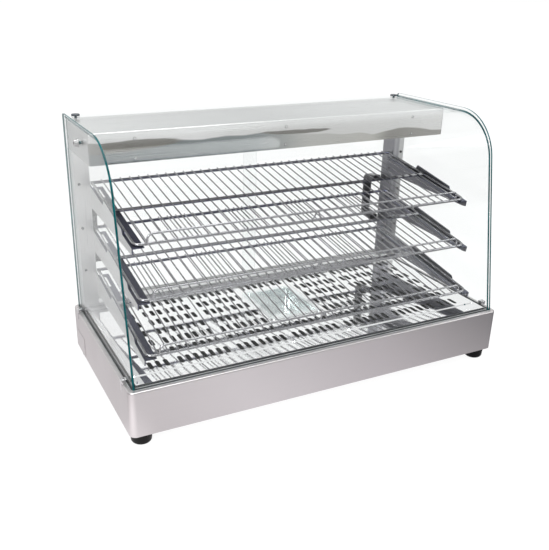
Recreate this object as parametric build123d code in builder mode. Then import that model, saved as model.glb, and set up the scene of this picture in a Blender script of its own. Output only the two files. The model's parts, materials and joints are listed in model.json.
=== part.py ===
"""Countertop hot food display case: heated base, three tilted wire shelves, bent front glass, lit canopy.

Millimetres, +Z up, +X to the right seen from the front, -Y towards the customer.
The origin is the centre of the whole outline on the plane that the feet stand on.
"""
from build123d import *
from math import cos, radians, sin, tan
import os

os.makedirs("parts", exist_ok=True)

# ---- Driving dimensions ----
base_width = 905.0
base_depth = 445.0
base_height = 100.0
overall_depth = 480.5
foot_height = 26.0
corner_radius = 14.0
sheet = 1.5
pane_thickness = 5.0
pane_top = 576.0
glass_tilt = 10.2
shelf_tilt = 9.0
canopy_height = 63.5
canopy_depth = 190.0
shelf_pitch = 103.0
shelf_depths = (304.0, 325.0, 352.0)
door_thickness = 4.0

# ---- Levels and planes worked out from them ----
front_y = -overall_depth / 2
rear_y = front_y + base_depth
side_x = base_width / 2
base_centre_y = (front_y + rear_y) / 2
casing_floor = foot_height + sheet
casing_top = foot_height + base_height
ledge_top = casing_top - 15
deck_top = casing_top + 3
grille_thickness = 2.0
grille_top = deck_top + grille_thickness
lip_width = 7.5
lip_height = 4.0
ledge_width = 28.5
gasket_width = 10.4
recess_width = 3.2
deck_half = side_x - lip_width - gasket_width - recess_width
deck_front = front_y + lip_width + 12 + recess_width
deck_rear = rear_y - lip_width
pane_outer = side_x - lip_width - 3
pane_inner = pane_outer - pane_thickness
pane_rear = rear_y - 5
pane_bottom = ledge_top + 3
canopy_half = pane_inner - 0.5
canopy_rear = pane_rear - 3
canopy_front = canopy_rear - canopy_depth
glass_top = pane_top - 5
canopy_top = glass_top - pane_thickness - 0.3
canopy_bottom = canopy_top - canopy_height
column_inner = canopy_half - 32.5
column_depth = 46.0
column_front = canopy_rear - column_depth
fit_gap = 0.3


def keep(piece, name):
    """Label a finished piece and write its STEP file."""
    piece.part.label = name
    export_step(piece.part, f"parts/{name}.step")


def box_between(low, high, mode=Mode.ADD):
    """A box given by two opposite corners, in the builder around it."""
    centre = [(a + b) / 2 for a, b in zip(low, high)]
    size = [b - a for a, b in zip(low, high)]
    with Locations(tuple(centre)):
        Box(*size, mode=mode)


def part_along(*planes):
    """Divide the sheet part being built into its panels, which meet at each plane."""
    for plane in planes:
        split(bisect_by=plane, keep=Keep.BOTH)


def front_line(height, inset=0.0):
    """The y of the glass's front line at a height, set back from the side panes' edge by inset."""
    return front_y + lip_width + 3 + inset + (height - casing_top - 1) * tan(radians(glass_tilt))


sides = {"left": -1, "right": 1}

# ---- Base casing: welded panels with an inward lip and, below it, a ledge that carries gaskets and deck ----
with BuildPart() as base_casing:
    with BuildSketch(Plane.XY.offset(casing_floor)):
        with Locations((0, base_centre_y)):
            RectangleRounded(base_width, base_depth, corner_radius)
            RectangleRounded(base_width - 2 * sheet, base_depth - 2 * sheet, corner_radius - sheet,
                             mode=Mode.SUBTRACT)
    extrude(amount=casing_top - casing_floor)
    inward_folds = (
        (casing_floor, sheet, 12, 8),
        (ledge_top - sheet, sheet, ledge_width, 4),
        (casing_top - lip_height, lip_height, lip_width, 9),
    )
    for level, thickness, width, hole_radius in inward_folds:
        with BuildSketch(Plane.XY.offset(level)):
            with Locations((0, base_centre_y)):
                RectangleRounded(base_width - sheet, base_depth - sheet, corner_radius - sheet / 2)
                RectangleRounded(base_width - 2 * width, base_depth - 2 * width, hole_radius,
                                 mode=Mode.SUBTRACT)
        extrude(amount=thickness)
    rim = base_casing.faces().filter_by(Axis.Z).sort_by(Axis.Z)[-1].outer_wire()
    fillet(rim.edges(), 3)
    for side in sides.values():
        near, far = sorted((side * (pane_inner - fit_gap), side * (pane_outer + fit_gap)))
        box_between((near, deck_rear - 1.5, pane_bottom - 1), (far, pane_rear + fit_gap, casing_top + 1),
                    Mode.SUBTRACT)
    panel_x, panel_z = 300.0, foot_height + 50
    box_between((panel_x - 100, rear_y - 3, panel_z - 30), (panel_x + 100, rear_y + 1, panel_z + 30),
                Mode.SUBTRACT)
    gland_x, gland_z = -380.0, foot_height + 34
    with Locations(Plane((gland_x, rear_y, gland_z), x_dir=(1, 0, 0), z_dir=(0, 1, 0))):
        Hole(8, depth=5)
    vent_count, vent_pitch = 12, 16.0
    with BuildSketch(Plane.XZ.offset(-rear_y - 1)):
        with Locations((-120, foot_height + 40)):
            with GridLocations(vent_pitch, 1, vent_count, 1):
                SlotOverall(44, 5, rotation=90)
    extrude(amount=sheet + 2, mode=Mode.SUBTRACT)
    part_along(Plane.XZ.offset(-front_y - 30), Plane.XZ.offset(-rear_y + 30))
keep(base_casing, "base_casing")

# ---- Bottom plate, feet and their screws ----
foot_inset = 28.5
foot_radius = 22.0
foot_centres = {
    "front_left": (-side_x + foot_inset, front_y + foot_inset),
    "front_right": (side_x - foot_inset, front_y + foot_inset),
    "rear_left": (-side_x + foot_inset, rear_y - foot_inset),
    "rear_right": (side_x - foot_inset, rear_y - foot_inset),
}
with BuildPart() as bottom_plate:
    with BuildSketch(Plane.XY.offset(foot_height)):
        with Locations((0, base_centre_y)):
            RectangleRounded(base_width - 4, base_depth - 4, corner_radius - 2)
        with Locations(*foot_centres.values()):
            Circle(2.8, mode=Mode.SUBTRACT)
        with Locations((0, base_centre_y)):
            with GridLocations(18, 90, 20, 2):
                SlotOverall(50, 5, rotation=90, mode=Mode.SUBTRACT)
    extrude(amount=sheet)
keep(bottom_plate, "bottom_plate")

for name, (x, y) in foot_centres.items():
    with BuildPart() as foot:
        with BuildSketch(Plane((x, y, 0), x_dir=(1, 0, 0), z_dir=(0, -1, 0))):
            with BuildLine():
                Polyline((2.8, foot_height), (foot_radius, foot_height), (foot_radius, foot_height - 7),
                         (foot_radius - 1.5, 0), (8, 0), (8, 9), (2.8, 9), close=True)
            make_face()
        revolve(axis=Axis((x, y, 0), (0, 0, 1)))
        fillet(foot.edges().filter_by(GeomType.CIRCLE).group_by(Axis.Z)[0].sort_by(SortBy.LENGTH)[-1], 7)
    keep(foot, f"foot_{name}")

with BuildPart() as foot_screws:
    with Locations(*[(x, y, 9) for x, y in foot_centres.values()]):
        Cylinder(2.5, 26, align=(Align.CENTER, Align.CENTER, Align.MIN))
        Cylinder(5, 3.5, align=(Align.CENTER, Align.CENTER, Align.MAX))
    with Locations(*[(x, y, casing_floor) for x, y in foot_centres.values()]):
        Cylinder(5, 4, align=(Align.CENTER, Align.CENTER, Align.MIN))
keep(foot_screws, "foot_screws")

# ---- Heat tray hung on the ledge, with posts for the elements ----
tray_half, tray_front, tray_rear = 420.0, front_y + ledge_width + 5, column_front - 2
tray_floor = foot_height + 38
heater_radius = 4.0
heater_level = casing_top - 27
heater_span = (110.0, 385.0)
with BuildPart() as heat_tray:
    box_between((-tray_half, tray_front, tray_floor), (tray_half, tray_rear, ledge_top + 1.2))
    flange = tray_half + 8
    box_between((-flange, tray_front - 8, ledge_top), (flange, tray_rear + 8, ledge_top + 1.2))
    box_between((-tray_half + 1.2, tray_front + 1.2, tray_floor + 1.2),
                (tray_half - 1.2, tray_rear - 1.2, ledge_top + 2), Mode.SUBTRACT)
    heater_ends = [(side * x, tray_rear, heater_level) for side in (-1, 1) for x in heater_span]
    for x, y, z in heater_ends:
        with Locations(Plane((x, y, z), x_dir=(1, 0, 0), z_dir=(0, 1, 0))):
            Hole(heater_radius + 0.5, depth=4)
    post_top = heater_level - heater_radius
    for x, _, _ in heater_ends:
        box_between((x - 9, base_centre_y - 60, tray_floor + 1), (x + 9, base_centre_y - 57, post_top))
    wall = 1.2
    part_along(Plane.XY.offset(tray_floor + wall), Plane.XZ.offset(-tray_front - wall),
               Plane.XZ.offset(-tray_rear + wall))
keep(heat_tray, "heat_tray")

for name, side in sides.items():
    with BuildPart() as heater:
        near, far = (side * x for x in heater_span)
        with BuildLine():
            FilletPolyline((near, tray_rear + 12, heater_level), (near, tray_front + 40, heater_level),
                           (far, tray_front + 40, heater_level), (far, tray_rear + 12, heater_level),
                           radius=34)
        with BuildSketch(Plane((near, tray_rear + 12, heater_level), z_dir=(0, -1, 0))):
            Circle(heater_radius)
        sweep()
    keep(heater, f"heating_element_{name}")

# ---- Deck: a folded sheet with a skirt, and windows under the grille plates ----
plate_front, plate_rear = deck_front + 32, column_front - 9
window_y = (plate_front + 7, plate_rear - 7)
window_spans = ((-405.0, -76.0), (-62.0, 62.0), (76.0, 405.0))
with BuildPart() as floor_deck:
    box_between((-deck_half, deck_front, ledge_top), (deck_half, deck_rear, deck_top))
    box_between((-deck_half + sheet, deck_front + sheet, ledge_top - 1),
                (deck_half - sheet, deck_rear - sheet, deck_top - sheet), Mode.SUBTRACT)
    for low_x, high_x in window_spans:
        box_between((low_x, window_y[0], deck_top - 3), (high_x, window_y[1], deck_top + 1), Mode.SUBTRACT)
    fillet(floor_deck.edges().filter_by(Axis.Z).group_by(SortBy.LENGTH)[-1].sort_by(Axis.X)[-2:], 3)
keep(floor_deck, "floor_deck")

# ---- Lift-out grille plates: slots in groups of seven, with a narrow group of three at each end ----
slot_pitch, group_pitch, row_pitch, row_count = 17.1, 133.5, 46.3, 7
first_row = front_y + 80.5
slot_length, slot_width = 29.0, 9.5
seven = [i * slot_pitch for i in range(-3, 4)]
plate_outer = deck_half - 5
plate_split = 70.0
pan_half_x, pan_front, pan_rear = 57.0, base_centre_y - 52, base_centre_y + 97
rows = [first_row + n * row_pitch for n in range(row_count)]


def grille(name, low_x, high_x, centres):
    """A flat plate from low_x to high_x with a slot at each centre."""
    with BuildPart() as plate:
        with BuildSketch(Plane.XY.offset(deck_top)):
            with Locations(((low_x + high_x) / 2, (plate_front + plate_rear) / 2)):
                RectangleRounded(high_x - low_x, plate_rear - plate_front, 4)
            with Locations(*centres):
                SlotOverall(slot_length, slot_width, rotation=90, mode=Mode.SUBTRACT)
            if low_x < 0 < high_x:
                with Locations((0, (pan_front + pan_rear) / 2)):
                    Rectangle(2 * pan_half_x + 2, pan_rear - pan_front + 2, mode=Mode.SUBTRACT)
        extrude(amount=grille_thickness)
    keep(plate, name)


side_columns = [k * group_pitch + x for k in (1, 2) for x in seven] + [3 * group_pitch + x for x in seven[:3]]
for name, side in sides.items():
    x_range = sorted((side * (plate_split + 0.5), side * plate_outer))
    grille(f"grille_{name}", *x_range, [(side * x, y) for x in side_columns for y in rows])
centre_rows = [y for y in rows if y + slot_length / 2 < pan_front - 8 or y - slot_length / 2 > pan_rear + 8]
grille("grille_centre", -plate_split + 0.5, plate_split - 0.5, [(x, y) for x in seven for y in centre_rows])

# ---- Water pan that hangs by its rim in the centre plate ----
pan_depth = 36.0
with BuildPart() as water_pan:
    pan_y = (pan_front + pan_rear) / 2
    pan_x_size, pan_y_size = 2 * pan_half_x, pan_rear - pan_front
    with BuildSketch(Plane.XY.offset(grille_top + fit_gap)):
        with Locations((0, pan_y)):
            RectangleRounded(pan_x_size + 16, pan_y_size + 16, 12)
    extrude(amount=1.2)
    with BuildSketch(Plane.XY.offset(grille_top - pan_depth)):
        with Locations((0, pan_y)):
            RectangleRounded(pan_x_size, pan_y_size, 10)
    extrude(amount=pan_depth + 1)
    with BuildSketch(Plane.XY.offset(grille_top - pan_depth + 1.2)):
        with Locations((0, pan_y)):
            RectangleRounded(pan_x_size - 2.4, pan_y_size - 2.4, 8.8)
    extrude(amount=pan_depth + 5, mode=Mode.SUBTRACT)
keep(water_pan, "water_pan")

# ---- Side panes, their gaskets, studs and clips ----
corner_y = front_line(pane_top)
stud_y, stud_z = canopy_front + 59, canopy_bottom + 36
for name, side in sides.items():
    with BuildPart() as pane:
        with BuildSketch(Plane.YZ.offset(min(side * pane_inner, side * pane_outer))) as outline:
            with BuildLine():
                Polyline((pane_rear, pane_bottom), (pane_rear, pane_top), (corner_y, pane_top),
                         (front_line(pane_bottom), pane_bottom), close=True)
            make_face()
            fillet(outline.vertices().group_by(Axis.Y)[-1].sort_by(Axis.X)[0], 115)
            fillet(outline.vertices().group_by(Axis.Y)[-1].sort_by(Axis.X)[-1], 6)
            with Locations((stud_y, stud_z)):
                Circle(3.5, mode=Mode.SUBTRACT)
        extrude(amount=pane_thickness)
        long_edges = pane.edges().filter_by(lambda edge: edge.length > 40)
        chamfer(long_edges, 0.6)
    keep(pane, f"side_pane_{name}")

gasket_front_end = front_y + lip_width + 12
with BuildPart() as side_gaskets:
    for side in sides.values():
        near, far = sorted((side * (deck_half + recess_width), side * (side_x - lip_width)))
        box_between((near, gasket_front_end, ledge_top), (far, deck_rear, casing_top))
    fillet(side_gaskets.edges().filter_by(Axis.Z).group_by(Axis.Y)[-1].sort_by(Axis.X)[::3], 9)
    for side in sides.values():
        near, far = sorted((side * pane_inner, side * pane_outer))
        box_between((near, gasket_front_end - 1, pane_bottom), (far, pane_rear, casing_top + 1),
                    Mode.SUBTRACT)
keep(side_gaskets, "side_gaskets")

clip_inset = 47.5
with BuildPart() as glass_clips:
    for side in sides.values():
        for y in (front_y + clip_inset, rear_y - clip_inset):
            near, far = sorted((side * (pane_outer + fit_gap), side * (side_x + sheet)))
            box_between((near, y - 5.5, casing_top), (far, y + 5.5, casing_top + 8))
            near, far = sorted((side * side_x, side * (side_x + sheet)))
            box_between((near, y - 3, casing_top - 16), (far, y + 3, casing_top))
keep(glass_clips, "glass_clips")

with BuildPart() as pane_studs:
    for side in sides.values():
        spot = (side * (pane_outer + 0.2), stud_y, stud_z)
        with Locations(Plane(spot, x_dir=(0, 1, 0), z_dir=(side, 0, 0))):
            Cylinder(9, 2, align=(Align.CENTER, Align.CENTER, Align.MIN))
            Cylinder(7, 8, align=(Align.CENTER, Align.CENTER, Align.MIN))
            Cylinder(3, 14, align=(Align.CENTER, Align.CENTER, Align.MAX))
keep(pane_studs, "pane_studs")

# ---- Front glass: one bent sheet from the front gasket over the canopy, and the gasket it stands in ----
glass_half = pane_inner - 0.5
glass_inset = 1.5
glass_foot = pane_bottom + 0.5
glass_rear = pane_rear - 1
knob_x, knob_y = 416.0, canopy_rear - 10.5
with BuildPart() as front_glass:
    with BuildSketch(Plane.YZ.offset(-glass_half)):
        with BuildLine():
            FilletPolyline((front_line(glass_foot, glass_inset), glass_foot),
                           (front_line(glass_top, glass_inset), glass_top), (glass_rear, glass_top),
                           radius=112)
            offset(amount=pane_thickness, side=Side.RIGHT)
        make_face()
    extrude(amount=2 * glass_half)
    with Locations((-knob_x, knob_y, glass_top), (knob_x, knob_y, glass_top)):
        Hole(2.6, depth=pane_thickness)
keep(front_glass, "front_glass")

with BuildPart() as front_gasket:
    gasket_half = side_x - lip_width
    box_between((-gasket_half, front_y + lip_width, ledge_top), (gasket_half, gasket_front_end, casing_top))
    fillet(front_gasket.edges().filter_by(Axis.Z).group_by(Axis.Y)[0], 9)
    slot_low = ledge_top + 1.5
    with BuildSketch(Plane.YZ.offset(-glass_half - 0.3)):
        with BuildLine():
            wall = pane_thickness / cos(radians(glass_tilt))
            front_face, back_face = glass_inset - fit_gap, glass_inset + wall + fit_gap
            Polyline((front_line(slot_low, front_face), slot_low),
                     (front_line(slot_low, back_face), slot_low),
                     (front_line(casing_top + 1, back_face), casing_top + 1),
                     (front_line(casing_top + 1, front_face), casing_top + 1), close=True)
        make_face()
    extrude(amount=2 * glass_half + 0.6, mode=Mode.SUBTRACT)
    for side in sides.values():
        near, far = sorted((side * (pane_inner - 0.2), side * (pane_outer + 0.2)))
        box_between((near, front_line(pane_bottom, -1), pane_bottom),
                    (far, gasket_front_end + 1, casing_top + 1), Mode.SUBTRACT)
keep(front_gasket, "front_gasket")

for name, side in sides.items():
    with BuildPart() as glass_knob:
        with Locations((side * knob_x, knob_y, glass_top + fit_gap)):
            Cylinder(9, 3.5, align=(Align.CENTER, Align.CENTER, Align.MIN))
            Cylinder(2.5, 9.5, align=(Align.CENTER, Align.CENTER, Align.MAX))
        fillet(glass_knob.edges().group_by(Axis.Z)[-1], 1.2)
    keep(glass_knob, f"glass_knob_{name}")

# ---- Canopy: shell, under-plate with a lamp window, reflector, lamp and holders ----
lamp_half, lamp_y = 290.0, canopy_front + 70
window_half_x, window_half_y = 310.0, 30.0
rivet_x, rivet_levels = (-342.0, 0.0, 342.0), (canopy_bottom + 9, canopy_bottom + 48)
with BuildPart() as canopy_shell:
    with BuildSketch(Plane.XY.offset(canopy_bottom)):
        with Locations((0, (canopy_front + canopy_rear) / 2)):
            RectangleRounded(2 * canopy_half, canopy_depth, 7)
    extrude(amount=canopy_height)
    fillet(canopy_shell.faces().sort_by(Axis.Z)[-1].edges(), 4)
    inner_size = (2 * (canopy_half - sheet), canopy_depth - 2 * sheet)
    with BuildSketch(Plane.XY.offset(canopy_bottom)):
        with Locations((0, (canopy_front + canopy_rear) / 2)):
            RectangleRounded(*inner_size, 5.5)
    extrude(amount=canopy_height - sheet - 2, mode=Mode.SUBTRACT)
    with Locations((-knob_x, knob_y, canopy_top), (knob_x, knob_y, canopy_top)):
        Hole(4.2, depth=5)
    for side in sides.values():
        with Locations(Plane((side * canopy_half, stud_y, stud_z), x_dir=(0, 1, 0), z_dir=(side, 0, 0))):
            Hole(3.3, depth=4)
keep(canopy_shell, "canopy_shell")

with BuildPart() as canopy_underplate:
    plate_low = canopy_bottom + fit_gap
    with BuildSketch(Plane.XY.offset(plate_low)):
        with Locations((0, (canopy_front + canopy_rear) / 2)):
            RectangleRounded(*inner_size, 5.5)
        with Locations((0, lamp_y)):
            Rectangle(2 * window_half_x, 2 * window_half_y, mode=Mode.SUBTRACT)
    extrude(amount=sheet)
keep(canopy_underplate, "canopy_underplate")

with BuildPart() as lamp_reflector:
    trough_low = plate_low + sheet
    with BuildSketch(Plane.YZ.offset(-window_half_x)):
        with BuildLine():
            FilletPolyline((lamp_y - window_half_y - 6, trough_low), (lamp_y - window_half_y, trough_low),
                           (lamp_y - 18, trough_low + 34), (lamp_y + 18, trough_low + 34),
                           (lamp_y + window_half_y, trough_low), (lamp_y + window_half_y + 6, trough_low),
                           radius=1.5)
            offset(amount=1.0, side=Side.LEFT)
        make_face()
    extrude(amount=2 * window_half_x)
keep(lamp_reflector, "lamp_reflector")

lamp_level = trough_low + 16
along_x = Plane((0, lamp_y, lamp_level), x_dir=(0, 1, 0), z_dir=(1, 0, 0))
with BuildPart() as lamp_tube:
    with Locations(along_x):
        Cylinder(8, 2 * lamp_half - 20)
        Cylinder(5, 2 * lamp_half)
keep(lamp_tube, "lamp_tube")

with BuildPart() as lamp_holders:
    for side in sides.values():
        near, far = sorted((side * lamp_half, side * (lamp_half + 14)))
        box_between((near, lamp_y - 10, lamp_level - 12), (far, lamp_y + 10, lamp_level + 17))
keep(lamp_holders, "lamp_holders")

with BuildPart() as canopy_rivets:
    for x in rivet_x:
        for z in rivet_levels:
            with Locations(Plane((x, canopy_front, z), x_dir=(1, 0, 0), z_dir=(0, -1, 0))):
                Cylinder(2.6, 1.1, align=(Align.CENTER, Align.CENTER, Align.MIN))
    fillet(canopy_rivets.faces().filter_by(Axis.Y).group_by(Axis.Y)[0].edges(), 0.8)
keep(canopy_rivets, "canopy_rivets")

# ---- Uprights: C-sections open to the rear, from the rear sill to the canopy ----
sill_top = deck_top + 15
for name, side in sides.items():
    with BuildPart() as column:
        near, far = sorted((side * column_inner, side * canopy_half))
        box_between((near, column_front, sill_top), (far, canopy_rear, canopy_bottom))
        box_between((near + sheet, column_front + sheet, sill_top - 1),
                    (far - sheet, canopy_rear - sheet, canopy_bottom + 1), Mode.SUBTRACT)
        box_between((near + 9, canopy_rear - sheet - 1, sill_top - 1),
                    (far - 9, canopy_rear + 1, canopy_bottom + 1), Mode.SUBTRACT)
    keep(column, f"column_{name}")

# ---- Shelf planes: each passes through its shelf's rear bar and falls towards the front ----
rod_radius = 3.0
wire_radius = 1.4
shelf_half = 397.0
rear_bar_y = column_front + 10
rear_bar_level = canopy_bottom - 74
tilt = radians(shelf_tilt)
shelf_names = ("top", "middle", "bottom")
shelf_normal = (0, -sin(tilt), cos(tilt))
shelf_planes = [
    Plane((0, rear_bar_y, rear_bar_level - n * shelf_pitch), x_dir=(1, 0, 0), z_dir=shelf_normal)
    for n in range(3)
]
bracket_top = -rod_radius - fit_gap
flange_width, web_thickness = 25.0, 2.5


def bracket(side, plane, depth):
    """A cantilever arm: tapered web against the upright, flange under the shelf, raised lip outside it."""
    rise = Plane(plane.from_local_coords((side * column_inner, 0, 0)), x_dir=plane.y_dir, z_dir=(1, 0, 0))
    tip = -depth - 5
    lip_rear, lip_front = -depth * 0.36, -depth + 56
    with BuildPart() as arm:
        with BuildSketch(rise.offset(0 if side < 0 else -web_thickness)):
            with BuildLine():
                Polyline((4, bracket_top), (lip_rear, bracket_top), (lip_rear - 8, 10), (lip_front + 6, 6),
                         (lip_front, bracket_top), (tip, bracket_top), (tip, bracket_top - 13),
                         (tip + 8, bracket_top - 15), (4, bracket_top - 52), close=True)
            make_face()
        extrude(amount=web_thickness)
        low, high = sorted((side * (column_inner - flange_width), side * column_inner))
        with BuildSketch(plane.offset(bracket_top - 2)):
            with Locations(((low + high) / 2, (-18 + tip) / 2)):
                Rectangle(high - low, -18 - tip)
            with Locations((side * (column_inner - 13), -51)):
                Rectangle(7, 46, mode=Mode.SUBTRACT)
        extrude(amount=2)
    return arm


for tier, (plane, depth) in zip(shelf_names, zip(shelf_planes, shelf_depths)):
    for name, side in sides.items():
        keep(bracket(side, plane, depth), f"shelf_bracket_{tier}_{name}")

with BuildPart() as upright_screws:
    for side in sides.values():
        for n, plane in enumerate(shelf_planes):
            spot = (side * (canopy_half - 8.5), column_front, canopy_bottom - 72 - 100 * n)
            with Locations(Plane(spot, x_dir=(1, 0, 0), z_dir=(0, -1, 0))):
                Cylinder(3.2, 1.4, align=(Align.CENTER, Align.CENTER, Align.MIN))
            for drop in (18, 40):
                spot = (side * (column_inner - web_thickness), column_front + 8, plane.origin.Z - drop)
                with Locations(Plane(spot, x_dir=(0, 1, 0), z_dir=(-side, 0, 0))):
                    Cylinder(3.2, 1.4, align=(Align.CENTER, Align.CENTER, Align.MIN))
keep(upright_screws, "upright_screws")

# ---- Wire shelves: a bent border rod, rear rod and flat middle bar under closely spaced wires ----
wire_count = 36
wire_pitch = 2 * shelf_half / (wire_count + 1)
middle_bar = -153.0
for tier, (plane, depth) in zip(shelf_names, zip(shelf_planes, shelf_depths)):
    with BuildPart() as shelf:
        with BuildLine(plane):
            FilletPolyline((-shelf_half, 0), (-shelf_half, -depth), (shelf_half, -depth), (shelf_half, 0),
                           radius=14)
        with BuildSketch(Plane(plane.from_local_coords((-shelf_half, 0, 0)), z_dir=-plane.y_dir)):
            Circle(rod_radius)
        sweep()
        across = Plane(plane.from_local_coords((0, 0, 0)), x_dir=plane.y_dir, z_dir=(1, 0, 0))
        with Locations(across):
            Cylinder(rod_radius + 0.5, 2 * shelf_half + 6)
        bar_spot = plane.from_local_coords((0, middle_bar, 1.5))
        with Locations(Plane(bar_spot, x_dir=(1, 0, 0), z_dir=plane.z_dir)):
            Box(2 * shelf_half, 10, 3)
        wire_level = rod_radius + wire_radius - 0.4
        wire_plane = Plane(plane.from_local_coords((0, 4, wire_level)), x_dir=(1, 0, 0), z_dir=-plane.y_dir)
        with BuildSketch(wire_plane):
            with GridLocations(wire_pitch, 1, wire_count, 1):
                Circle(wire_radius)
        extrude(amount=depth + 5)
    keep(shelf, f"shelf_{tier}")

    with BuildPart() as fence:
        fence_half, fence_level, foot_level = shelf_half - 25, 21.0, rod_radius - 1
        stand = Plane(plane.from_local_coords((0, -depth, 0)), x_dir=(1, 0, 0), z_dir=-plane.y_dir)
        with BuildLine(stand):
            FilletPolyline((-fence_half, foot_level), (-fence_half, fence_level), (fence_half, fence_level),
                           (fence_half, foot_level), radius=12)
        post_foot = plane.from_local_coords((-fence_half, -depth, foot_level))
        with BuildSketch(Plane(post_foot, z_dir=plane.z_dir)):
            Circle(2.2)
        sweep()
        for lean in (-1, 1):
            with BuildLine(stand):
                Line((lean * 9, foot_level), (lean * 1.5, fence_level))
            start = plane.from_local_coords((lean * 9, -depth, foot_level))
            aim = plane.from_local_coords((lean * 1.5, -depth, fence_level)) - start
            with BuildSketch(Plane(start, z_dir=aim)):
                Circle(1.6)
            sweep()
    keep(fence, f"shelf_fence_{tier}")

# ---- Rear doors in two-groove tracks, with bow handles; the lower track is the sill under the uprights ----
track_front = canopy_rear - 24
track_half = column_inner
groove_starts = (track_front + 5.5, track_front + 14.5)
groove_width = door_thickness + 1
groove_floor, top_track_height, top_groove_depth = deck_top + 4, 22.0, 18.0
with BuildPart() as door_track_bottom:
    box_between((-canopy_half, column_front, deck_top), (canopy_half, canopy_rear, sill_top))
    box_between((-canopy_half + 2, column_front + 2, deck_top - 1),
                (canopy_half - 2, track_front + 3, sill_top - 2), Mode.SUBTRACT)
    for start in groove_starts:
        box_between((-track_half, start, groove_floor), (track_half, start + groove_width, sill_top + 1),
                    Mode.SUBTRACT)
keep(door_track_bottom, "door_track_bottom")

with BuildPart() as door_track_top:
    top_track_low = canopy_bottom - top_track_height
    box_between((-track_half, track_front, top_track_low), (track_half, canopy_rear, canopy_bottom))
    for start in groove_starts:
        box_between((-track_half - 1, start, top_track_low - 1),
                    (track_half + 1, start + groove_width, top_track_low + top_groove_depth), Mode.SUBTRACT)
keep(door_track_top, "door_track_top")

door_overlap = 15.0
door_low, door_high = groove_floor + fit_gap, top_track_low + 11
handle_x, handle_low, handle_high = 388.0, foot_height + 208, foot_height + 335
handle_reach = overall_depth / 2 - groove_starts[1] - 0.5 - door_thickness
for (name, side), start in zip(sides.items(), groove_starts):
    face = start + 0.5 + door_thickness
    with BuildPart() as door:
        near, far = sorted((side * -door_overlap, side * (column_inner - 0.5)))
        box_between((near, start + 0.5, door_low), (far, face, door_high))
        for z in (handle_low + 8, handle_high - 8):
            with Locations(Plane((side * handle_x, face, z), x_dir=(1, 0, 0), z_dir=(0, 1, 0))):
                Hole(2.6, depth=door_thickness)
    keep(door, f"door_{name}")

    with BuildPart() as handle:
        with BuildSketch(Plane.YZ.offset(side * handle_x - 11)):
            with BuildLine():
                outer_y, inner_y = face + handle_reach, face + handle_reach - 12
                FilletPolyline((face, handle_low), (outer_y, handle_low + 5), (outer_y, handle_high - 5),
                               (face, handle_high), radius=15)
                FilletPolyline((face, handle_low + 16), (inner_y, handle_low + 19),
                               (inner_y, handle_high - 19), (face, handle_high - 16), radius=5)
                Line((face, handle_low), (face, handle_low + 16))
                Line((face, handle_high), (face, handle_high - 16))
            make_face()
        extrude(amount=22)
        fillet(handle.edges().filter_by(lambda edge: edge.length > 60), 3)
        for z in (handle_low + 8, handle_high - 8):
            with Locations(Plane((side * handle_x, face, z), x_dir=(1, 0, 0), z_dir=(0, -1, 0))):
                Cylinder(2.5, door_thickness + 1, align=(Align.CENTER, Align.CENTER, Align.MIN))
            screw_spot = (side * handle_x, face - door_thickness, z)
            with Locations(Plane(screw_spot, x_dir=(1, 0, 0), z_dir=(0, -1, 0))):
                Cylinder(4.5, 1.6, align=(Align.CENTER, Align.CENTER, Align.MIN))
    keep(handle, f"door_handle_{name}")

# ---- Control panel on the rear wall, with thermostat, two rocker switches and a pilot lamp ----
panel_face = rear_y + sheet
rocker_pivot_y = rear_y - 3
thermostat_x, lamp_x = panel_x + 78, panel_x - 88
rocker_xs = {"power": panel_x - 10, "light": panel_x - 50}
rear_facing = {"x_dir": (1, 0, 0), "z_dir": (0, 1, 0)}
with BuildPart() as control_panel:
    with BuildSketch(Plane((panel_x, rear_y, panel_z), x_dir=(-1, 0, 0), z_dir=(0, 1, 0))):
        RectangleRounded(230, 74, 4)
        with Locations((panel_x - thermostat_x, 0)):
            Circle(4, mode=Mode.SUBTRACT)
        with Locations((panel_x - lamp_x, 0)):
            Circle(5, mode=Mode.SUBTRACT)
        with Locations(*[(panel_x - x, 0) for x in rocker_xs.values()]):
            Rectangle(22, 30, mode=Mode.SUBTRACT)
    extrude(amount=sheet)
keep(control_panel, "control_panel")

with BuildPart() as thermostat_body:
    with Locations((thermostat_x, rear_y - 18, panel_z)):
        Box(36, 36, 40)
    with Locations(Plane((thermostat_x, rear_y - 2, panel_z), **rear_facing)):
        Cylinder(3, 18, align=(Align.CENTER, Align.CENTER, Align.MIN))
keep(thermostat_body, "thermostat_body")

with BuildPart() as thermostat_knob:
    with Locations(Plane((thermostat_x, panel_face + 0.5, panel_z), **rear_facing)):
        Cylinder(20, 5, align=(Align.CENTER, Align.CENTER, Align.MIN))
        Cylinder(16, 17, align=(Align.CENTER, Align.CENTER, Align.MIN))
    with Locations(Plane((thermostat_x, panel_face + 17.5, panel_z), **rear_facing)):
        Hole(3.05, depth=17)
    with Locations(Plane((thermostat_x, panel_face + 17.5, panel_z), **rear_facing)):
        Cylinder(16, 3, align=(Align.CENTER, Align.CENTER, Align.MIN))
    with Locations((thermostat_x, panel_face + 11, panel_z + 16)):
        Box(3, 11, 3)
    fillet(thermostat_knob.edges().filter_by(GeomType.CIRCLE).group_by(Axis.Y)[-1], 1.5)
keep(thermostat_knob, "thermostat_knob")

with BuildPart() as switch_housings:
    for x in rocker_xs.values():
        box_between((x - 11, rear_y - 24, panel_z - 15), (x + 11, panel_face, panel_z + 15))
        box_between((x - 13, panel_face, panel_z - 17), (x + 13, panel_face + 1.6, panel_z + 17))
        box_between((x - 9, rear_y - 12, panel_z - 13), (x + 9, panel_face + 3, panel_z + 13), Mode.SUBTRACT)
        with Locations(Plane((x, rocker_pivot_y, panel_z), x_dir=(0, 1, 0), z_dir=(1, 0, 0))):
            Cylinder(1.56, 24, mode=Mode.SUBTRACT)
keep(switch_housings, "switch_housings")

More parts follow.
